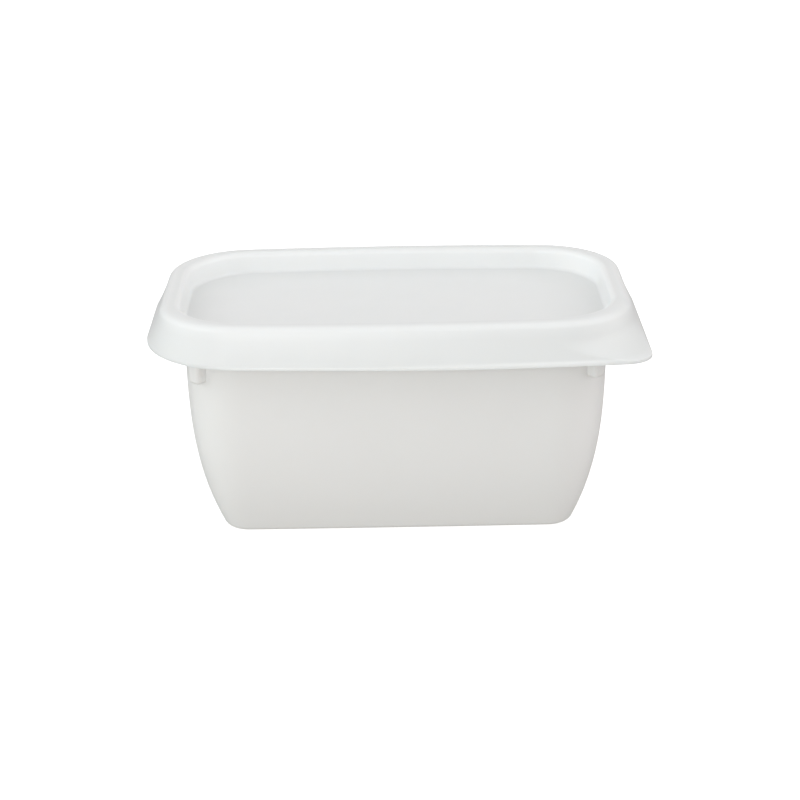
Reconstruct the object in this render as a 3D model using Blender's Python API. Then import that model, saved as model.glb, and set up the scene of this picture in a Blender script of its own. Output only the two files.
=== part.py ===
"""Plastic food container: a filled rectangular tub with barrel-curved walls, shut by a press-on lid.

The origin is the centre of the underside, +X runs along the tub's length and -Y is its front.
Both pieces are lofted through rounded-rectangle rings, from a profile of (offset, height) stations.
"""

import math

import bmesh
import bpy

MM = 0.001

# Whole container
HEIGHT = 72.3 * MM

# Lid: the line along the top of its rim, seen from above
RIM_HALF_LENGTH = 70.0 * MM
RIM_HALF_WIDTH = 40.6 * MM
RIM_CORNER_RADIUS = 23.8 * MM
CORNER_EASE_LENGTH = 14.0 * MM
RIM_SIDE_RADIUS = 850.0 * MM

# Lid: rim arch, recessed panel and slanted skirt
LID_WALL = 0.9 * MM
RIM_OUTER_ROUND = 2.6 * MM
RIM_OUTER_CENTRE = -1.9 * MM
RIM_INNER_ROUND = 1.8 * MM
RIM_ARCH_WIDTH = 5.5 * MM
PANEL_DEPTH = 6.6 * MM
PANEL_FILLET = 1.0 * MM
PANEL_WALL_DRAFT = 0.4 * MM
SKIRT_HEIGHT = 11.4 * MM
SKIRT_EDGE_OFFSET = 4.8 * MM
SKIRT_LIP_HEIGHT = 0.9 * MM
SKIRT_RADIUS = 45.0 * MM
TAB_CORNER_RADIUS = 8.5 * MM
TAB_START = 0.35

# Tub
TUB_TOP_HALF_LENGTH = 63.5 * MM
TUB_TOP_HALF_WIDTH = 32.6 * MM
TUB_CORNER_RADIUS = 17.6 * MM
TUB_SIDE_RADIUS = 6000.0 * MM
WALL_TOP = 62.5 * MM
FOOT_INSET = 8.7 * MM
WALL_CURVE_POWER = 3.1
FOOT_RADIUS = 2.8 * MM
FOOT_BAND = 4.0 * MM
BASE_CORNER_RADIUS = 4.0 * MM
BASE_RECESS = 0.7 * MM
BASE_RECESS_SLOPE = 0.9 * MM
FLANGE_FILLET = 1.5 * MM
FLANGE_CHAMFER = 0.6 * MM
FIT_GAP = 0.35 * MM

# Lugs below the lid, one on each corner of the tub
LUG_WIDTH = 4.4 * MM
LUG_PROUD = 3.0 * MM
LUG_ROOT = 6.0 * MM
LUG_BOTTOM = 52.2 * MM
LUG_EDGE = 0.8 * MM
LUG_ANGLE = 44.5

# Mesh fineness
CORNER_STEPS = 11
LONG_SIDE_STEPS = 8
SHORT_SIDE_STEPS = 3
WALL_STEPS = 12
SKIRT_STEPS = 7
ROUND_STEPS = 4


def clear_scene():
    for obj in list(bpy.data.objects):
        bpy.data.objects.remove(obj, do_unlink=True)


def arc_stations(centre, radius, start, end, steps):
    """Points along an arc, ends included, with its angles in degrees."""
    return [
        (
            centre[0] + radius * math.cos(math.radians(start + (end - start) * i / steps)),
            centre[1] + radius * math.sin(math.radians(start + (end - start) * i / steps)),
        )
        for i in range(steps + 1)
    ]


def ring(half_x, half_y, radius, side_radius, z, tab_radius=None):
    """Points round a rectangle with round corners and bowed long sides, counter-clockwise.

    The short sides are straight, the long ones arcs of side_radius that run smoothly into the
    corners. The front right corner, where the points start, may have a radius of its own."""
    bow_centre = half_y - side_radius
    corners = ((1, -1, tab_radius or radius), (1, 1, radius), (-1, 1, radius), (-1, -1, radius))
    arcs = []
    for i, (sign_x, sign_y, corner_radius) in enumerate(corners):
        x = half_x - corner_radius
        reach = side_radius - corner_radius
        y = bow_centre + math.sqrt(reach * reach - x * x)
        turn = 90 - math.degrees(math.asin(x / reach))
        arc = arc_stations((x, y), corner_radius, 0, turn, CORNER_STEPS)
        if i % 2 == 0:
            arc.reverse()
        arcs.append([(sign_x * arc_x, sign_y * arc_y) for arc_x, arc_y in arc])
    points = []
    for i, arc in enumerate(arcs):
        points += arc
        start, end = arc[-1], arcs[(i + 1) % 4][0]
        if i % 2 == 0:
            for k in range(1, SHORT_SIDE_STEPS):
                share = k / SHORT_SIDE_STEPS
                points.append((start[0], start[1] + (end[1] - start[1]) * share))
            continue
        side = 1 if i == 1 else -1
        for k in range(1, LONG_SIDE_STEPS):
            x = start[0] + (end[0] - start[0]) * k / LONG_SIDE_STEPS
            y = bow_centre + math.sqrt(side_radius * side_radius - x * x)
            points.append((x, side * y))
    return [(x, y, z) for x, y in points]


def lid_ring(offset, z, tab_share=0.0):
    """A ring that lies offset outside the rim line. tab_share pulls its front right corner out.

    Away from the rim line the corners grow rounder than an even offset would make them."""
    radius = RIM_CORNER_RADIUS + offset + offset * offset / CORNER_EASE_LENGTH
    return ring(
        RIM_HALF_LENGTH + offset,
        RIM_HALF_WIDTH + offset,
        radius,
        RIM_SIDE_RADIUS + offset,
        z,
        radius + (TAB_CORNER_RADIUS - radius) * tab_share,
    )


def skirt_arc(centre, lip):
    """The skirt's hollow arc, from the rim's outer rounding about centre down to the lip.

    Returns the angle at which it touches the rounding, in degrees, and its stations."""
    across, down = lip[0] - centre[0], lip[1] - centre[1]
    apart, reach = math.hypot(across, down), SKIRT_RADIUS + RIM_OUTER_ROUND
    bend = math.acos((apart**2 + reach**2 - SKIRT_RADIUS**2) / (2 * apart * reach))
    angle = math.atan2(down, across) + bend
    hollow = (centre[0] + reach * math.cos(angle), centre[1] + reach * math.sin(angle))
    end = math.degrees(math.atan2(lip[1] - hollow[1], lip[0] - hollow[0])) % 360
    touch = math.degrees(angle)
    return touch, arc_stations(hollow, SKIRT_RADIUS, touch + 180, end, SKIRT_STEPS)


def lid_profile():
    """(offset, z, tab share) stations over the lid, from the panel's edge to the skirt's lip."""
    panel_z = HEIGHT - PANEL_DEPTH
    foot = -RIM_ARCH_WIDTH - PANEL_WALL_DRAFT
    fillet_centre = (foot - PANEL_FILLET, panel_z + PANEL_FILLET)
    inner_centre = (RIM_INNER_ROUND - RIM_ARCH_WIDTH, HEIGHT - RIM_INNER_ROUND)
    outer_centre = (RIM_OUTER_CENTRE, HEIGHT - RIM_OUTER_ROUND)
    lip = (SKIRT_EDGE_OFFSET, HEIGHT - SKIRT_HEIGHT + SKIRT_LIP_HEIGHT)
    touch, skirt = skirt_arc(outer_centre, lip)
    fillet = arc_stations(fillet_centre, PANEL_FILLET, -90, 0, ROUND_STEPS)
    crest = arc_stations(inner_centre, RIM_INNER_ROUND, 180, 90, ROUND_STEPS)
    crest += arc_stations(outer_centre, RIM_OUTER_ROUND, 90, touch, ROUND_STEPS)
    stations = [(offset, z, 0.0) for offset, z in fillet + crest]
    for i, (offset, z) in enumerate(skirt[1:], 1):
        stations.append((offset, z, tab_share(i / SKIRT_STEPS)))
    stations.append((SKIRT_EDGE_OFFSET, HEIGHT - SKIRT_HEIGHT, 1.0))
    return stations


def tab_share(share):
    """How much of the lift tab has grown out of the skirt, at a share of the way down it."""
    grown = max((share - TAB_START) / (1 - TAB_START), 0.0)
    return grown * grown


def moved_inward(stations, distance):
    """The stations moved towards the inside of the lid by distance, square to the profile."""
    moved = []
    last = len(stations) - 1
    for i, (offset, z, share) in enumerate(stations):
        before = stations[max(i - 1, 0)]
        after = stations[min(i + 1, last)]
        along = (after[0] - before[0], after[1] - before[1])
        if i == 0:
            along = (1.0, 0.0)
        if i == last:
            along = (0.0, -1.0)
        length = math.hypot(*along)
        moved.append((
            offset + along[1] / length * distance,
            z - along[0] / length * distance,
            share,
        ))
    return moved


def lid_rings():
    """All of the lid's rings, from the top of the panel out over the rim and back underneath."""
    outer = lid_profile()
    under = moved_inward(outer, LID_WALL)
    return [lid_ring(*station) for station in outer + under[::-1]]


def wall_inset(z):
    """How far the tub's wall has drawn in below its full width, at height z."""
    drop = (WALL_TOP - z) / (WALL_TOP - FOOT_RADIUS)
    return FOOT_INSET * max(drop, 0.0) ** WALL_CURVE_POWER


def tub_ring(inset, z):
    return ring(
        TUB_TOP_HALF_LENGTH - inset,
        TUB_TOP_HALF_WIDTH - inset,
        max(TUB_CORNER_RADIUS - inset, BASE_CORNER_RADIUS),
        TUB_SIDE_RADIUS,
        z,
    )


def foot_arc():
    """(inset, z) stations of the rounding between the wall and the base, tangent to both."""
    low = 0.6 * FOOT_RADIUS
    slope = math.atan((wall_inset(low) - wall_inset(low + 0.1 * MM)) / (0.1 * MM))
    centre_inset = wall_inset(low) + FOOT_RADIUS * math.cos(slope)
    sweep = [-90 + (90 - math.degrees(slope)) * i / ROUND_STEPS for i in range(ROUND_STEPS + 1)]
    return [
        (
            centre_inset - FOOT_RADIUS * math.cos(math.radians(a)),
            FOOT_RADIUS + FOOT_RADIUS * math.sin(math.radians(a)),
        )
        for a in sweep
    ]


def tub_rings():
    """The tub from the middle of its base, up its wall and round the flange that the lid grips."""
    foot = foot_arc()
    rings = [
        tub_ring(foot[0][0] + FOOT_BAND + BASE_RECESS_SLOPE, BASE_RECESS),
        tub_ring(foot[0][0] + FOOT_BAND, 0.0),
    ]
    rings += [tub_ring(inset, z) for inset, z in foot]
    low = foot[-1][1]
    for i in range(1, WALL_STEPS + 1):
        z = low + (WALL_TOP - low) * i / WALL_STEPS
        rings.append(tub_ring(wall_inset(z), z))
    fillet = arc_stations((-FLANGE_FILLET, WALL_TOP), FLANGE_FILLET, 0, 90, ROUND_STEPS)
    rings += [tub_ring(inset, z) for inset, z in fillet[1:]]
    flange_z = WALL_TOP + FLANGE_FILLET
    inside = LID_WALL + FIT_GAP
    under_rim = moved_inward(lid_profile(), inside)[: -SKIRT_STEPS - 1]
    flange_offset = under_rim[-1][0]
    rings.append(lid_ring(flange_offset - FLANGE_CHAMFER, flange_z))
    rings.append(lid_ring(flange_offset, flange_z + FLANGE_CHAMFER))
    rings += [lid_ring(*station) for station in reversed(under_rim)]
    return rings


def loft(name, rings):
    """A closed mesh through the rings, with a flat cap on the first and on the last."""
    mesh = bpy.data.meshes.new(name)
    bm = bmesh.new()
    loops = [[bm.verts.new(point) for point in points] for points in rings]
    count = len(loops[0])
    for lower, upper in zip(loops, loops[1:]):
        for i in range(count):
            j = (i + 1) % count
            bm.faces.new((lower[i], lower[j], upper[j], upper[i]))
    bm.faces.new(loops[0])
    bm.faces.new(loops[-1])
    bmesh.ops.recalc_face_normals(bm, faces=bm.faces)
    bm.to_mesh(mesh)
    bm.free()
    obj = bpy.data.objects.new(name, mesh)
    bpy.context.scene.collection.objects.link(obj)
    mesh.shade_smooth()
    mesh.set_sharp_from_angle(angle=math.radians(40))
    return obj


def add_lugs(tub):
    """Fuses a rounded upright lug onto each corner of the tub, under the lid's skirt."""
    corner_x = TUB_TOP_HALF_LENGTH - TUB_CORNER_RADIUS
    corner_y = TUB_TOP_HALF_WIDTH - TUB_CORNER_RADIUS
    top = WALL_TOP + FLANGE_FILLET + FLANGE_CHAMFER
    depth = LUG_PROUD + LUG_ROOT
    lugs = bpy.data.collections.new("lug_helpers")
    angle = math.radians(LUG_ANGLE)
    for i, (sign_x, sign_y) in enumerate(((1, -1), (1, 1), (-1, 1), (-1, -1))):
        direction = (sign_x * math.sin(angle), sign_y * math.cos(angle))
        reach = TUB_CORNER_RADIUS + LUG_PROUD - depth / 2
        bm = bmesh.new()
        bmesh.ops.create_cube(bm, size=1.0)
        bmesh.ops.scale(bm, vec=(depth, LUG_WIDTH, top - LUG_BOTTOM), verts=bm.verts)
        bmesh.ops.bevel(
            bm,
            geom=[e for e in bm.edges if min(v.co.x for v in e.verts) > 0],
            offset=LUG_EDGE,
            segments=3,
            profile=0.5,
            affect="EDGES",
        )
        mesh = bpy.data.meshes.new(f"lug_{i}")
        bm.to_mesh(mesh)
        bm.free()
        lug = bpy.data.objects.new(f"lug_{i}", mesh)
        lug.location = (
            sign_x * corner_x + direction[0] * reach,
            sign_y * corner_y + direction[1] * reach,
            (top + LUG_BOTTOM) / 2,
        )
        lug.rotation_euler = (0, 0, math.atan2(direction[1], direction[0]))
        lugs.objects.link(lug)
    bpy.context.scene.collection.children.link(lugs)
    union = tub.modifiers.new("lugs", "BOOLEAN")
    union.operation = "UNION"
    union.operand_type = "COLLECTION"
    union.collection = lugs
    bpy.context.view_layer.update()
    graph = bpy.context.evaluated_depsgraph_get()
    joined = bpy.data.meshes.new_from_object(tub.evaluated_get(graph))
    tub.modifiers.clear()
    tub.data = joined
    joined.set_sharp_from_angle(angle=math.radians(40))
    for lug in list(lugs.objects):
        bpy.data.objects.remove(lug, do_unlink=True)
    bpy.data.collections.remove(lugs)


def plastic(name, colour, roughness, transmission=0.0):
    material = bpy.data.materials.new(name)
    material.use_nodes = True
    shader = material.node_tree.nodes["Principled BSDF"]
    shader.inputs["Base Color"].default_value = (*colour, 1.0)
    shader.inputs["Roughness"].default_value = roughness
    shader.inputs["Metallic"].default_value = 0.0
    shader.inputs["Transmission Weight"].default_value = transmission
    return material


def make_tub():
    tub = loft("tub", tub_rings())
    add_lugs(tub)
    tub.data.materials.clear()
    tub.data.materials.append(plastic("tub_plastic", (0.76, 0.76, 0.74), 0.42))


def make_lid():
    lid = loft("lid", lid_rings())
    lid.data.materials.append(plastic("lid_plastic", (0.84, 0.86, 0.86), 0.3, 0.2))


clear_scene()
make_tub()
make_lid()
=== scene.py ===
import math

import bpy
import numpy as np
from mathutils import Matrix, Vector, noise


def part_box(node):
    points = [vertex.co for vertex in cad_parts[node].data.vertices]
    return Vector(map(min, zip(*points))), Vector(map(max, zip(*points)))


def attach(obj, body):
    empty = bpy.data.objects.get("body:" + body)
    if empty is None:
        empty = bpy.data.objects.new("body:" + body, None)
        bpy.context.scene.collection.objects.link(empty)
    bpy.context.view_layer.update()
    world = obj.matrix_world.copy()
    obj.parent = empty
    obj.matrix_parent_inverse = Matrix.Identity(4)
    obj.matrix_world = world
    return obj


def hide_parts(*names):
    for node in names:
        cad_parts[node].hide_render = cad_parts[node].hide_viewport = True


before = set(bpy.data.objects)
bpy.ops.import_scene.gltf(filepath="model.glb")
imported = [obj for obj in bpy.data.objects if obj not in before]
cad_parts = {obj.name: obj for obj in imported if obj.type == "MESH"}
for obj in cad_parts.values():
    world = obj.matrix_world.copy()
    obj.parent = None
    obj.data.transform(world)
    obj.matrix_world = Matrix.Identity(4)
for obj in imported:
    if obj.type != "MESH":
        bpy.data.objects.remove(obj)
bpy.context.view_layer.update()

MM = 0.001

# ---------------------------------------------------------------- sizes, from the frame
LID_LOW, LID_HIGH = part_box("lid")
TUB_LOW, TUB_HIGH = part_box("tub")
HEIGHT = LID_HIGH.z
SKIRT_HEIGHT = HEIGHT - LID_LOW.z

# Lid profile: offsets are measured outwards from the line along the top of the rim
LID_WALL = 0.9 * MM
SKIRT_EDGE_OFFSET = 4.8 * MM
SKIRT_LIP_HEIGHT = 0.9 * MM
SKIRT_RADIUS = 45.0 * MM
RIM_HALF_LENGTH = LID_HIGH.x - SKIRT_EDGE_OFFSET
RIM_HALF_WIDTH = LID_HIGH.y - SKIRT_EDGE_OFFSET
RIM_CORNER_RADIUS = 23.8 * MM
CORNER_EASE_LENGTH = 14.0 * MM
RIM_SIDE_RADIUS = 850.0 * MM
RIM_OUTER_ROUND = 2.6 * MM
RIM_OUTER_CENTRE = -1.9 * MM
RIM_INNER_ROUND = 1.8 * MM
RIM_ARCH_WIDTH = 5.5 * MM
PANEL_DEPTH = 6.6 * MM
PANEL_FILLET = 1.0 * MM
PANEL_WALL_DRAFT = 0.4 * MM
PANEL_SAG = 0.125 * MM
TAB_CORNER_RADIUS = 8.5 * MM
TAB_START = 0.35
LIP_DROP = 0.55 * MM
LIP_DROP_FROM = -50.0 * MM
LIP_DROP_TO = 30.0 * MM
LID_WARP = 0.05 * MM
LID_WARP_SIZE = 22 * MM
LID_WARP_SEED = 8.4

# The lid's colour carries painted shade and light: painted shade over the panel, darkest at its
# edge, and down the skirt, painted light on the rim's inner wall, and a painted highlight along
# the skirt's edge.
# How white the lid looks, from 0 for its painted shade colour to 1 for LID_WHITE, set to the
# photo:
# over the panel and the rim's inner side, down the skirt, and along the skirt's edge
PANEL_EDGE_FADE = 9.0 * MM
PANEL_PAINTED_LIGHTNESS = (0.34, 0.1, 0.87, 0.15)
SKIRT_DEPTHS = (0.0, 0.1, 0.35, 0.9, 0.95)
SKIRT_PAINTED_LIGHTNESS = (0.27, 0.42, 0.18, 0.02, 0.06)
# A painted highlight along the skirt's edge, whiter towards its right end
LIP_PAINTED_HIGHLIGHT = 0.45
LIP_HIGHLIGHT_HEIGHTS = (0.8 * MM, 1.3 * MM)
LIP_HIGHLIGHT_ALONG = (-15.0 * MM, 45.0 * MM, 58.0 * MM, 66.0 * MM)
LIP_HIGHLIGHT_SHARES = (0.0, 1.0, 1.0, 0.3)

# Tub profile: insets are measured inwards from the widest part of the wall
TUB_HALF_LENGTH = 63.5 * MM
TUB_HALF_WIDTH = 32.6 * MM
TUB_CORNER_RADIUS = 17.6 * MM
TUB_SIDE_RADIUS = 6000.0 * MM
WALL_TOP = 62.5 * MM
FOOT_INSET = 8.7 * MM
WALL_CURVE_POWER = 3.1
FOOT_RADIUS = 2.8 * MM
FOOT_TOUCH = 0.6
SLOPE_STEP = 0.1 * MM
FOOT_BAND = 4.0 * MM
BASE_CORNER_RADIUS = 4.0 * MM
BASE_RECESS = 0.7 * MM
BASE_RECESS_SLOPE = 0.9 * MM
FLANGE_FILLET = 1.5 * MM
FLANGE_CHAMFER = 0.6 * MM
FIT_GAP = 0.35 * MM
TUB_WARP = 0.06 * MM
TUB_WARP_SIZE = 35 * MM
TUB_WARP_SEED = 3.1

# Lugs: they end 0.7 mm lower than the solid's and have softer edges
LUG_WIDTH = 4.4 * MM
LUG_PROUD = 3.0 * MM
LUG_ROOT = 6.0 * MM
LUG_BOTTOM = 51.5 * MM
LUG_EDGE = 1.1 * MM
LUG_EDGE_STEPS = 6
LUG_ANGLE = 44.5

# Mesh fineness
CORNER_STEPS = 40
LONG_SIDE_STEPS = 56
SHORT_SIDE_STEPS = 20
ROUND_STEPS = 12
WALL_STEPS = 60
SKIRT_STEPS = 36
CAP_SHARES = [k / 25 for k in range(1, 25)]
SHARP_ANGLE = 35

# ---------------------------------------------------------------- camera, as the photo was taken
IMAGE_SIZE = 800
SENSOR_MM = 36.0
FOCAL_PX = 1980.0
CAMERA_DISTANCE = 620.0 * MM
CAMERA_PITCH = 21.39
CAMERA_YAW = 0.40
CAMERA_ROLL = -0.81
CAMERA_TARGET = Vector((1.07 * MM, 0.0, 33.84 * MM))
CAMERA_CLIP_START = 0.01


def add_camera():
    """The camera looks along +Y and down, turned a little about Z and about its own axis."""
    pitch, yaw, roll = (math.radians(a) for a in (CAMERA_PITCH, CAMERA_YAW, CAMERA_ROLL))
    forward = Vector((0.0, math.cos(pitch), -math.sin(pitch)))
    up = Vector((0.0, math.sin(pitch), math.cos(pitch)))
    right = Vector((1.0, 0.0, 0.0))
    turned_right = right * math.cos(roll) + up * math.sin(roll)
    turned_up = up * math.cos(roll) - right * math.sin(roll)
    place = CAMERA_TARGET - forward * CAMERA_DISTANCE
    axes = Matrix((turned_right, turned_up, -forward)).transposed().to_4x4()
    data = bpy.data.cameras.new("camera")
    data.sensor_width = SENSOR_MM
    data.lens = FOCAL_PX * SENSOR_MM / IMAGE_SIZE
    data.clip_start = CAMERA_CLIP_START
    data.dof.use_dof = False
    camera = bpy.data.objects.new("camera", data)
    camera.matrix_world = Matrix.Rotation(-yaw, 4, "Z") @ Matrix.Translation(place) @ axes
    bpy.context.scene.collection.objects.link(camera)
    bpy.context.scene.camera = camera


# ---------------------------------------------------------------- rings and profiles
def arc_stations(centre, radius, start, end, steps):
    """Points along an arc, ends included, with its angles in degrees."""
    return [
        (
            centre[0] + radius * math.cos(math.radians(start + (end - start) * i / steps)),
            centre[1] + radius * math.sin(math.radians(start + (end - start) * i / steps)),
        )
        for i in range(steps + 1)
    ]


def ring(half_x, half_y, radius, side_radius, z, tab_radius=None):
    """Points round a rectangle with round corners and bowed long sides, counter-clockwise.

    The short sides are straight, the long ones arcs of side_radius that run smoothly into the
    corners. The front right corner, where the points start, may have a radius of its own."""
    bow_centre = half_y - side_radius
    corners = ((1, -1, tab_radius or radius), (1, 1, radius), (-1, 1, radius), (-1, -1, radius))
    arcs = []
    for i, (sign_x, sign_y, corner_radius) in enumerate(corners):
        x = half_x - corner_radius
        reach = side_radius - corner_radius
        y = bow_centre + math.sqrt(reach * reach - x * x)
        turn = 90 - math.degrees(math.asin(x / reach))
        arc = arc_stations((x, y), corner_radius, 0, turn, CORNER_STEPS)
        if i % 2 == 0:
            arc.reverse()
        arcs.append([(sign_x * arc_x, sign_y * arc_y) for arc_x, arc_y in arc])
    points = []
    for i, arc in enumerate(arcs):
        points += arc
        start, end = arc[-1], arcs[(i + 1) % 4][0]
        if i % 2 == 0:
            for k in range(1, SHORT_SIDE_STEPS):
                share = k / SHORT_SIDE_STEPS
                points.append((start[0], start[1] + (end[1] - start[1]) * share))
            continue
        side = 1 if i == 1 else -1
        for k in range(1, LONG_SIDE_STEPS):
            x = start[0] + (end[0] - start[0]) * k / LONG_SIDE_STEPS
            y = bow_centre + math.sqrt(side_radius * side_radius - x * x)
            points.append((x, side * y))
    return [(x, y, z) for x, y in points]


def lid_ring(offset, z, tab_share=0.0):
    """A ring that lies offset outside the rim line. tab_share pulls its front right corner out.

    Away from the rim line the corners grow rounder than an even offset would make them."""
    radius = RIM_CORNER_RADIUS + offset + offset * offset / CORNER_EASE_LENGTH
    return ring(
        RIM_HALF_LENGTH + offset,
        RIM_HALF_WIDTH + offset,
        radius,
        RIM_SIDE_RADIUS + offset,
        z,
        radius + (TAB_CORNER_RADIUS - radius) * tab_share,
    )


def tub_ring(inset, z):
    return ring(
        TUB_HALF_LENGTH - inset,
        TUB_HALF_WIDTH - inset,
        max(TUB_CORNER_RADIUS - inset, BASE_CORNER_RADIUS),
        TUB_SIDE_RADIUS,
        z,
    )


def skirt_arc(centre, lip):
    """The skirt's hollow arc, from the rim's outer rounding about centre down to the lip.

    Returns the angle at which it touches the rounding, in degrees, and its stations."""
    across, down = lip[0] - centre[0], lip[1] - centre[1]
    apart, reach = math.hypot(across, down), SKIRT_RADIUS + RIM_OUTER_ROUND
    bend = math.acos((apart**2 + reach**2 - SKIRT_RADIUS**2) / (2 * apart * reach))
    angle = math.atan2(down, across) + bend
    hollow = (centre[0] + reach * math.cos(angle), centre[1] + reach * math.sin(angle))
    end = math.degrees(math.atan2(lip[1] - hollow[1], lip[0] - hollow[0])) % 360
    touch = math.degrees(angle)
    return touch, arc_stations(hollow, SKIRT_RADIUS, touch + 180, end, SKIRT_STEPS)


def lid_profile():
    """(offset, z, tab share) stations over the lid, from the panel's edge to the skirt's lip."""
    panel_z = HEIGHT - PANEL_DEPTH
    foot = -RIM_ARCH_WIDTH - PANEL_WALL_DRAFT
    fillet_centre = (foot - PANEL_FILLET, panel_z + PANEL_FILLET)
    inner_centre = (RIM_INNER_ROUND - RIM_ARCH_WIDTH, HEIGHT - RIM_INNER_ROUND)
    outer_centre = (RIM_OUTER_CENTRE, HEIGHT - RIM_OUTER_ROUND)
    lip = (SKIRT_EDGE_OFFSET, HEIGHT - SKIRT_HEIGHT + SKIRT_LIP_HEIGHT)
    touch, skirt = skirt_arc(outer_centre, lip)
    fillet = arc_stations(fillet_centre, PANEL_FILLET, -90, 0, ROUND_STEPS)
    crest = arc_stations(inner_centre, RIM_INNER_ROUND, 180, 90, ROUND_STEPS)
    crest += arc_stations(outer_centre, RIM_OUTER_ROUND, 90, touch, ROUND_STEPS)
    stations = [(offset, z, 0.0) for offset, z in fillet + crest]
    for i, (offset, z) in enumerate(skirt[1:], 1):
        stations.append((offset, z, tab_share(i / SKIRT_STEPS)))
    stations.append((SKIRT_EDGE_OFFSET, HEIGHT - SKIRT_HEIGHT, 1.0))
    return stations


def tab_share(share):
    """How much of the lift tab has grown out of the skirt, at a share of the way down it."""
    grown = max((share - TAB_START) / (1 - TAB_START), 0.0)
    return grown * grown


def moved_inward(stations, distance):
    """The stations moved towards the inside of the lid by distance, square to the profile."""
    moved = []
    last = len(stations) - 1
    for i, (offset, z, share) in enumerate(stations):
        before = stations[max(i - 1, 0)]
        after = stations[min(i + 1, last)]
        along = (after[0] - before[0], after[1] - before[1])
        if i == 0:
            along = (1.0, 0.0)
        if i == last:
            along = (0.0, -1.0)
        length = math.hypot(*along)
        moved.append((
            offset + along[1] / length * distance,
            z - along[0] / length * distance,
            share,
        ))
    return moved


def cap_rings(edge):
    """Rings inside a flat edge ring, shrinking towards its middle, from the middle outwards."""
    z = edge[0][2]
    return [[(x * share, y * share, z) for x, y, _ in edge] for share in CAP_SHARES]


def wall_inset(z):
    """How far the tub's wall has drawn in below its full width, at height z."""
    drop = (WALL_TOP - z) / (WALL_TOP - FOOT_RADIUS)
    return FOOT_INSET * max(drop, 0.0) ** WALL_CURVE_POWER


def foot_arc():
    """(inset, z) stations of the rounding between the wall and the base, tangent to both."""
    low = FOOT_TOUCH * FOOT_RADIUS
    slope = math.atan((wall_inset(low) - wall_inset(low + SLOPE_STEP)) / SLOPE_STEP)
    centre_inset = wall_inset(low) + FOOT_RADIUS * math.cos(slope)
    sweep = [-90 + (90 - math.degrees(slope)) * i / ROUND_STEPS for i in range(ROUND_STEPS + 1)]
    return [
        (
            centre_inset - FOOT_RADIUS * math.cos(math.radians(a)),
            FOOT_RADIUS + FOOT_RADIUS * math.sin(math.radians(a)),
        )
        for a in sweep
    ]


def lid_rings():
    """The lid from the middle of its panel out over the rim and back underneath."""
    outer = lid_profile()
    under = moved_inward(outer, LID_WALL)
    rings = [hung(lid_ring(*station), station[0]) for station in outer + under[::-1]]
    return cap_rings(rings[0]) + rings + cap_rings(rings[-1])[::-1]


def hung(points, offset):
    """A ring of the lid, lowered towards its right end where it belongs to the skirt."""
    depth = HEIGHT - RIM_OUTER_ROUND - points[0][2]
    if offset < -RIM_ARCH_WIDTH / 2 or depth < 0:
        return points
    drop = LIP_DROP * depth / (SKIRT_HEIGHT - RIM_OUTER_ROUND)
    lowered = []
    for x, y, z in points:
        share = min(max((x - LIP_DROP_FROM) / (LIP_DROP_TO - LIP_DROP_FROM), 0.0), 1.0)
        lowered.append((x, y, z - drop * share * share * (3 - 2 * share)))
    return lowered


def lid_painted_lightness():
    """Painted shade and light for each of the lid's rings, from 0 to 1: painted lightest on the
    rim's inner wall, and painted greyer on the panel, most of all in the shade at its edge, and on
    the skirt."""
    outer = lid_profile()
    edge = outer[0][0]
    steps = (edge - PANEL_EDGE_FADE, edge, edge + PANEL_FILLET, RIM_INNER_ROUND - RIM_ARCH_WIDTH)
    middle = [edge - (1 - share) * (RIM_HALF_WIDTH + edge) for share in CAP_SHARES]
    painted_lightness = [float(np.interp(offset, steps, PANEL_PAINTED_LIGHTNESS)) for offset in middle]
    for offset, z, _ in outer:
        if offset < -RIM_ARCH_WIDTH / 2:
            painted_lightness.append(float(np.interp(offset, steps, PANEL_PAINTED_LIGHTNESS)))
        else:
            depth = (HEIGHT - z) / SKIRT_HEIGHT
            painted_lightness.append(float(np.interp(depth, SKIRT_DEPTHS, SKIRT_PAINTED_LIGHTNESS)))
    return painted_lightness + painted_lightness[::-1]


def tub_rings():
    """The tub from the middle of its base, up its wall and round the flange that the lid grips."""
    foot = foot_arc()
    recess = tub_ring(foot[0][0] + FOOT_BAND + BASE_RECESS_SLOPE, BASE_RECESS)
    rings = cap_rings(recess) + [recess, tub_ring(foot[0][0] + FOOT_BAND, 0.0)]
    rings += [tub_ring(inset, z) for inset, z in foot]
    low = foot[-1][1]
    for i in range(1, WALL_STEPS + 1):
        z = low + (WALL_TOP - low) * i / WALL_STEPS
        rings.append(tub_ring(wall_inset(z), z))
    fillet = arc_stations((-FLANGE_FILLET, WALL_TOP), FLANGE_FILLET, 0, 90, ROUND_STEPS)
    rings += [tub_ring(inset, z) for inset, z in fillet[1:]]
    flange_z = WALL_TOP + FLANGE_FILLET
    inside = LID_WALL + FIT_GAP
    under_rim = moved_inward(lid_profile(), inside)[: -SKIRT_STEPS - 1]
    flange_offset = under_rim[-1][0]
    rings.append(lid_ring(flange_offset - FLANGE_CHAMFER, flange_z))
    rings.append(lid_ring(flange_offset, flange_z + FLANGE_CHAMFER))
    rings += [lid_ring(*station) for station in reversed(under_rim)]
    return rings + cap_rings(rings[-1])[::-1]


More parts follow.
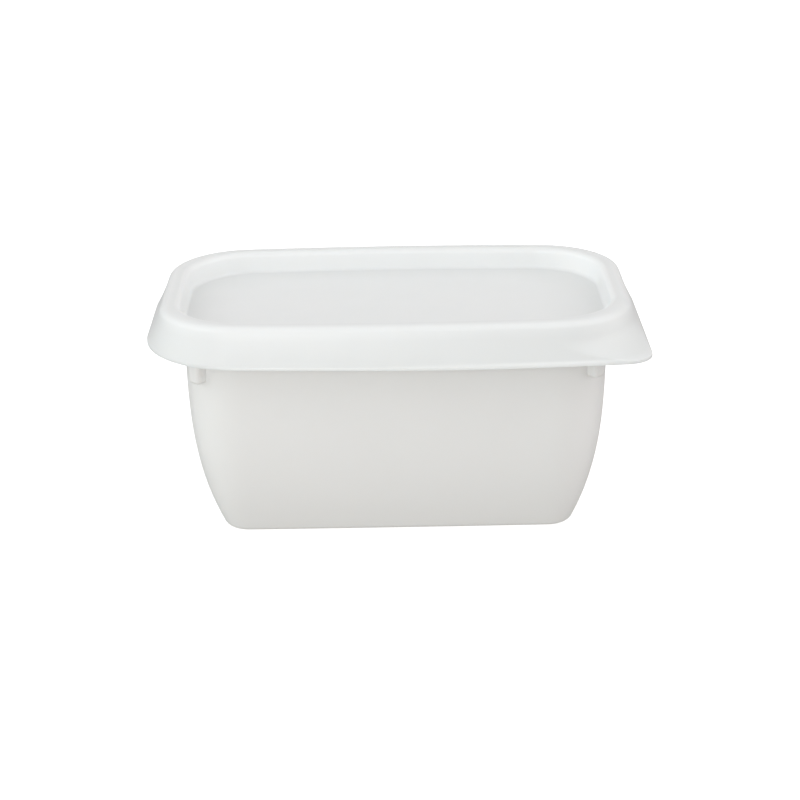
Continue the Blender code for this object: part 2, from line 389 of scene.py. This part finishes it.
# ---------------------------------------------------------------- meshes
def loft(name, rings, painted_lightness):
    """A closed smooth mesh through the rings, with a small cap in the middle of both ends. Each
    ring has its own painted lightness, from 0 for the material's painted shade to 1 for its
    colour."""
    count = len(rings[0])
    points = [point for points in rings for point in points]
    faces = []
    for level in range(len(rings) - 1):
        low, high = level * count, (level + 1) * count
        for i in range(count):
            j = (i + 1) % count
            faces.append((low + i, low + j, high + j, high + i))
    faces.append(tuple(reversed(range(count))))
    faces.append(tuple(range(len(points) - count, len(points))))
    mesh = bpy.data.meshes.new(name)
    mesh.from_pydata(points, [], faces)
    mesh.update()
    piece = bpy.data.objects.new(name, mesh)
    bpy.context.scene.collection.objects.link(piece)
    if signed_volume(mesh) < 0:
        mesh.flip_normals()
    mesh.shade_smooth()
    mesh.set_sharp_from_angle(angle=math.radians(SHARP_ANGLE))
    add_painted_lightness(mesh, np.repeat(painted_lightness, count))
    return piece


def signed_volume(mesh):
    mesh.calc_loop_triangles()
    points = np.array([v.co for v in mesh.vertices])
    corners = points[np.array([t.vertices for t in mesh.loop_triangles])]
    return np.einsum("ij,ij->i", corners[:, 0], np.cross(corners[:, 1], corners[:, 2])).sum()


def warp(piece, height, size, seed):
    """Moves the surface inwards by up to height, in soft swells of about the given size."""
    mesh = piece.data
    shift = Vector((seed, seed * 0.7, seed * 1.3))
    moves = []
    for vertex in mesh.vertices:
        swell = 0.5 + 0.5 * noise.noise(vertex.co / size + shift)
        moves.append(vertex.co - vertex.normal * height * swell)
    for vertex, place in zip(mesh.vertices, moves):
        vertex.co = place


def sag_panel(piece):
    """Lets the lid's panel hang by PANEL_SAG in its middle, fading out at its edge."""
    half_x = RIM_HALF_LENGTH - RIM_ARCH_WIDTH - PANEL_FILLET
    half_y = RIM_HALF_WIDTH - RIM_ARCH_WIDTH - PANEL_FILLET
    for vertex in piece.data.vertices:
        x, y = vertex.co.x / half_x, vertex.co.y / half_y
        if abs(x) < 1 and abs(y) < 1:
            vertex.co.z -= PANEL_SAG * (1 - x * x) ** 2 * (1 - y * y) ** 2


def add_painted_lightness(mesh, values):
    """Stores each point's painted lightness, by which the material mixes its painted shade and its
    colour.
    """
    layer = mesh.attributes.new("painted_lightness", "FLOAT", "POINT")
    layer.data.foreach_set("value", values)


def paint_lip_highlight(piece):
    """Paints a highlight along the skirt's edge, whiter towards its right end, but not on the tab,
    as a bright edge shows there."""
    for vertex, painted_lightness in zip(piece.data.vertices, piece.data.attributes["painted_lightness"].data):
        lip = np.interp(vertex.co.z - LID_LOW.z, LIP_HIGHLIGHT_HEIGHTS, (1.0, 0.0))
        share = np.interp(vertex.co.x, LIP_HIGHLIGHT_ALONG, LIP_HIGHLIGHT_SHARES)
        painted_lightness.value += LIP_PAINTED_HIGHLIGHT * lip * share


def box_mesh(name, length, width, height):
    """A box about the origin."""
    mesh = bpy.data.meshes.new(name)
    corners = [
        (x * length / 2, y * width / 2, z * height / 2)
        for x in (-1, 1) for y in (-1, 1) for z in (-1, 1)
    ]
    faces = [(0, 1, 3, 2), (4, 6, 7, 5), (0, 4, 5, 1), (2, 3, 7, 6), (0, 2, 6, 4), (1, 5, 7, 3)]
    mesh.from_pydata(corners, [], faces)
    return mesh


def make_lug(name, sign_x, sign_y):
    """A rounded upright lug on one corner of the tub, with its back inside the wall."""
    angle = math.radians(LUG_ANGLE)
    direction = Vector((sign_x * math.sin(angle), sign_y * math.cos(angle), 0.0))
    corner = Vector((
        sign_x * (TUB_HALF_LENGTH - TUB_CORNER_RADIUS),
        sign_y * (TUB_HALF_WIDTH - TUB_CORNER_RADIUS),
        0.0,
    ))
    top = WALL_TOP + FLANGE_FILLET
    depth = LUG_PROUD + LUG_ROOT
    mesh = box_mesh(name, depth, LUG_WIDTH, top - LUG_BOTTOM)
    piece = bpy.data.objects.new(name, mesh)
    middle = corner + direction * (TUB_CORNER_RADIUS + LUG_PROUD - depth / 2)
    middle.z = (top + LUG_BOTTOM) / 2
    turn = Matrix.Rotation(math.atan2(direction.y, direction.x), 4, "Z")
    mesh.transform(Matrix.Translation(middle) @ turn)
    bpy.context.scene.collection.objects.link(piece)
    bevel = piece.modifiers.new("edges", "BEVEL")
    bevel.width = LUG_EDGE
    bevel.segments = LUG_EDGE_STEPS
    bevel.limit_method = "NONE"
    mesh.shade_smooth()
    add_painted_lightness(mesh, [1.0] * len(mesh.vertices))
    return piece


# ---------------------------------------------------------------- materials
TUB_WHITE = (0.871, 0.871, 0.856)
TUB_ROUGHNESS = 0.42
TUB_SOFT_DEPTH = 1.2 * MM
TUB_SOFT_SHARE = 0.35
LID_WHITE = (0.93, 0.945, 0.94)
# Painted shade: the lid's colour where its painted lightness is 0.
LID_PAINTED_SHADE = (0.735, 0.75, 0.745)
LID_ROUGHNESS = 0.33
LID_SOFT_DEPTH = 1.0 * MM
LID_SOFT_SHARE = 0.6
SOFT_RADIUS = (1.0, 0.95, 0.9)
PLASTIC_IOR = 1.49
MOTTLE_SCALE = 38.0
MOTTLE_DETAIL = 4.0
MOTTLE_LOW = 0.985
SMUDGE_SCALE = 90.0
SMUDGE_DETAIL = 6.0
SMUDGE_FROM = 0.3
SMUDGE_TO = 0.7
SMUDGE_GLOSSIER = 0.05
SMUDGE_DULLER = 0.07
GRAIN_SCALE = 2600.0
GRAIN_DETAIL = 2.0
GRAIN_STRENGTH = 0.12
GRAIN_HEIGHT = 0.04 * MM


def node(tree, kind, **settings):
    made = tree.nodes.new(kind)
    for name, value in settings.items():
        setattr(made, name, value)
    return made


def noise_texture(tree, scale, detail):
    """The output of a noise texture fixed to the object."""
    place = node(tree, "ShaderNodeTexCoord")
    texture = node(tree, "ShaderNodeTexNoise")
    texture.inputs["Scale"].default_value = scale
    texture.inputs["Detail"].default_value = detail
    tree.links.new(place.outputs["Object"], texture.inputs["Vector"])
    return texture.outputs["Fac"]


def colour_by_painted_lightness(tree, colour, shade):
    """Mixes the painted shade and the colour by the mesh's painted lightness, slightly mottled."""
    link = tree.links.new
    tint = node(tree, "ShaderNodeMapRange")
    tint.inputs["To Min"].default_value = MOTTLE_LOW
    link(noise_texture(tree, MOTTLE_SCALE, MOTTLE_DETAIL), tint.inputs["Value"])
    painted_lightness = node(tree, "ShaderNodeAttribute", attribute_name="painted_lightness")
    mix = node(tree, "ShaderNodeMix", data_type="RGBA")
    mix.inputs["A"].default_value = (*shade, 1.0)
    mix.inputs["B"].default_value = (*colour, 1.0)
    link(painted_lightness.outputs["Fac"], mix.inputs["Factor"])
    base = node(tree, "ShaderNodeVectorMath", operation="SCALE")
    link(mix.outputs["Result"], base.inputs[0])
    link(tint.outputs["Result"], base.inputs["Scale"])
    return base.outputs[0]


def smudged_gloss(tree, roughness):
    """A roughness that varies a little about the given one."""
    gloss = node(tree, "ShaderNodeMapRange")
    gloss.inputs["From Min"].default_value = SMUDGE_FROM
    gloss.inputs["From Max"].default_value = SMUDGE_TO
    gloss.inputs["To Min"].default_value = roughness - SMUDGE_GLOSSIER
    gloss.inputs["To Max"].default_value = roughness + SMUDGE_DULLER
    tree.links.new(noise_texture(tree, SMUDGE_SCALE, SMUDGE_DETAIL), gloss.inputs["Value"])
    return gloss.outputs["Result"]


def moulded_grain(tree):
    """The normals of a fine grain."""
    bump = node(tree, "ShaderNodeBump")
    bump.inputs["Strength"].default_value = GRAIN_STRENGTH
    bump.inputs["Distance"].default_value = GRAIN_HEIGHT
    tree.links.new(noise_texture(tree, GRAIN_SCALE, GRAIN_DETAIL), bump.inputs["Height"])
    return bump.outputs["Normal"]


def plastic(name, colour, shade, roughness, soft_depth, soft_share):
    """Moulded plastic with a fine grain and smudged gloss, into which light sinks by soft_depth.
    It has the colour where the mesh's painted lightness is 1 and the painted shade where it is 0."""
    material = bpy.data.materials.new(name)
    material.use_nodes = True
    tree = material.node_tree
    shader = tree.nodes["Principled BSDF"]
    tree.links.new(colour_by_painted_lightness(tree, colour, shade), shader.inputs["Base Color"])
    tree.links.new(smudged_gloss(tree, roughness), shader.inputs["Roughness"])
    tree.links.new(moulded_grain(tree), shader.inputs["Normal"])
    shader.inputs["Subsurface Weight"].default_value = soft_share
    shader.inputs["Subsurface Radius"].default_value = SOFT_RADIUS
    shader.inputs["Subsurface Scale"].default_value = soft_depth
    shader.inputs["IOR"].default_value = PLASTIC_IOR
    return material


def dress(piece, material, replaced):
    piece.data.materials.clear()
    piece.data.materials.append(material)
    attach(piece, "root")
    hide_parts(replaced)


# ---------------------------------------------------------------- floor and light
FLOOR_HALF = 6.0
FLOOR_WHITE = (0.9, 0.9, 0.9, 1.0)
FLOOR_ROUGHNESS = 0.9
FLOOR_GLOW = 0.6
FRONT_LIGHT_PLACE = (-0.15, -0.6, 0.15)
FRONT_LIGHT_SIZE = 0.35
FRONT_LIGHT_WATTS = 1.68
FRONT_LIGHT_COLOUR = (1.0, 1.0, 0.99)
LIGHT_AIM = Vector((0.0, 0.0, 0.04))
# Each direction's light falls off as the cosine of the angle to it, to the power of ROOM_SPREAD
ROOM_SPREAD = 4.0
ROOM_LIGHT = (
    # direction the soft light comes from, its strength and its colour
    ((-1, 0, 0), 0.85, (0.96, 1.0, 0.99)),
    ((-1, 0, 1), 0.92, (1.0, 0.995, 1.0)),
    ((-1, -1, 1), 0.74, (0.99, 1.0, 1.01)),
    ((1, 0, 0), 1.06, (1.02, 0.995, 0.995)),
    ((1, 0, 1), 1.33, (1.0, 1.0, 1.0)),
    ((1, -1, 0), 0.27, (1.06, 0.985, 0.98)),
    ((0, 1, 0), 0.28, (1.05, 0.98, 0.98)),
    ((0, 1, 0.45), 0.61, (1.02, 0.995, 0.985)),
    ((0, 0, -1), 0.74, (1.02, 1.0, 0.91)),
)


def add_floor():
    """A white floor that only the camera sees. The room's light from below stands in for its
    bounce, so it neither lights the container nor blocks that light."""
    mesh = bpy.data.meshes.new("floor")
    h = FLOOR_HALF
    mesh.from_pydata([(-h, -h, 0), (h, -h, 0), (h, h, 0), (-h, h, 0)], [], [(0, 1, 2, 3)])
    floor = bpy.data.objects.new("floor", mesh)
    bpy.context.scene.collection.objects.link(floor)
    material = bpy.data.materials.new("floor_white")
    material.use_nodes = True
    shader = material.node_tree.nodes["Principled BSDF"]
    shader.inputs["Base Color"].default_value = FLOOR_WHITE
    shader.inputs["Roughness"].default_value = FLOOR_ROUGHNESS
    shader.inputs["Emission Color"].default_value = (1.0, 1.0, 1.0, 1.0)
    shader.inputs["Emission Strength"].default_value = FLOOR_GLOW
    mesh.materials.append(material)
    floor.visible_diffuse = False
    floor.visible_glossy = False
    floor.visible_transmission = False
    floor.visible_shadow = False


def add_room_light():
    """Broad soft lights all round the container, each fading out round its own direction."""
    world = bpy.data.worlds.new("room")
    bpy.context.scene.world = world
    world.use_nodes = True
    tree = world.node_tree
    link = tree.links.new
    look = node(tree, "ShaderNodeTexCoord").outputs["Generated"]
    total = None
    for direction, strength, colour in ROOM_LIGHT:
        facing = node(tree, "ShaderNodeVectorMath", operation="DOT_PRODUCT")
        facing.inputs[1].default_value = Vector(direction).normalized()
        link(look, facing.inputs[0])
        front = node(tree, "ShaderNodeMath", operation="MAXIMUM")
        link(facing.outputs["Value"], front.inputs[0])
        front.inputs[1].default_value = 0.0
        share = node(tree, "ShaderNodeMath", operation="POWER")
        link(front.outputs[0], share.inputs[0])
        share.inputs[1].default_value = ROOM_SPREAD
        light = node(tree, "ShaderNodeVectorMath", operation="SCALE")
        light.inputs[0].default_value = [strength * channel for channel in colour]
        link(share.outputs[0], light.inputs["Scale"])
        light = light.outputs[0]
        if total:
            both = node(tree, "ShaderNodeVectorMath", operation="ADD")
            link(total, both.inputs[0])
            link(light, both.inputs[1])
            light = both.outputs[0]
        total = light
    link(total, tree.nodes["Background"].inputs["Color"])


def add_light(name, place, size, power, colour):
    data = bpy.data.lights.new(name, "AREA")
    data.shape = "SQUARE"
    data.size = size
    data.energy = power
    data.color = colour
    light = bpy.data.objects.new(name, data)
    aim = LIGHT_AIM - Vector(place)
    light.location = place
    light.rotation_euler = aim.to_track_quat("-Z", "Y").to_euler()
    bpy.context.scene.collection.objects.link(light)


# ---------------------------------------------------------------- the container
add_camera()
add_floor()
add_room_light()
add_light(
    "soft_front", FRONT_LIGHT_PLACE, FRONT_LIGHT_SIZE, FRONT_LIGHT_WATTS, FRONT_LIGHT_COLOUR
)
bpy.context.scene.view_settings.view_transform = "Standard"

tub_plastic = plastic(
    "tub_plastic", TUB_WHITE, TUB_WHITE, TUB_ROUGHNESS, TUB_SOFT_DEPTH, TUB_SOFT_SHARE
)
lid_plastic = plastic(
    "lid_plastic", LID_WHITE, LID_PAINTED_SHADE, LID_ROUGHNESS, LID_SOFT_DEPTH, LID_SOFT_SHARE
)

wall = tub_rings()
tub = loft("tub_skin", wall, [1.0] * len(wall))
warp(tub, TUB_WARP, TUB_WARP_SIZE, TUB_WARP_SEED)
dress(tub, tub_plastic, "tub")

# The lid's colour is mixed ring by ring from painted shade and painted light.
lid = loft("lid_skin", lid_rings(), lid_painted_lightness())
# Paints a highlight along the skirt's edge.
paint_lip_highlight(lid)
sag_panel(lid)
warp(lid, LID_WARP, LID_WARP_SIZE, LID_WARP_SEED)
dress(lid, lid_plastic, "lid")

for corner_name, corner_x, corner_y in (
    ("front_right", 1, -1), ("back_right", 1, 1), ("back_left", -1, 1), ("front_left", -1, -1),
):
    lug = make_lug("lug_" + corner_name, corner_x, corner_y)
    dress(lug, tub_plastic, "tub")
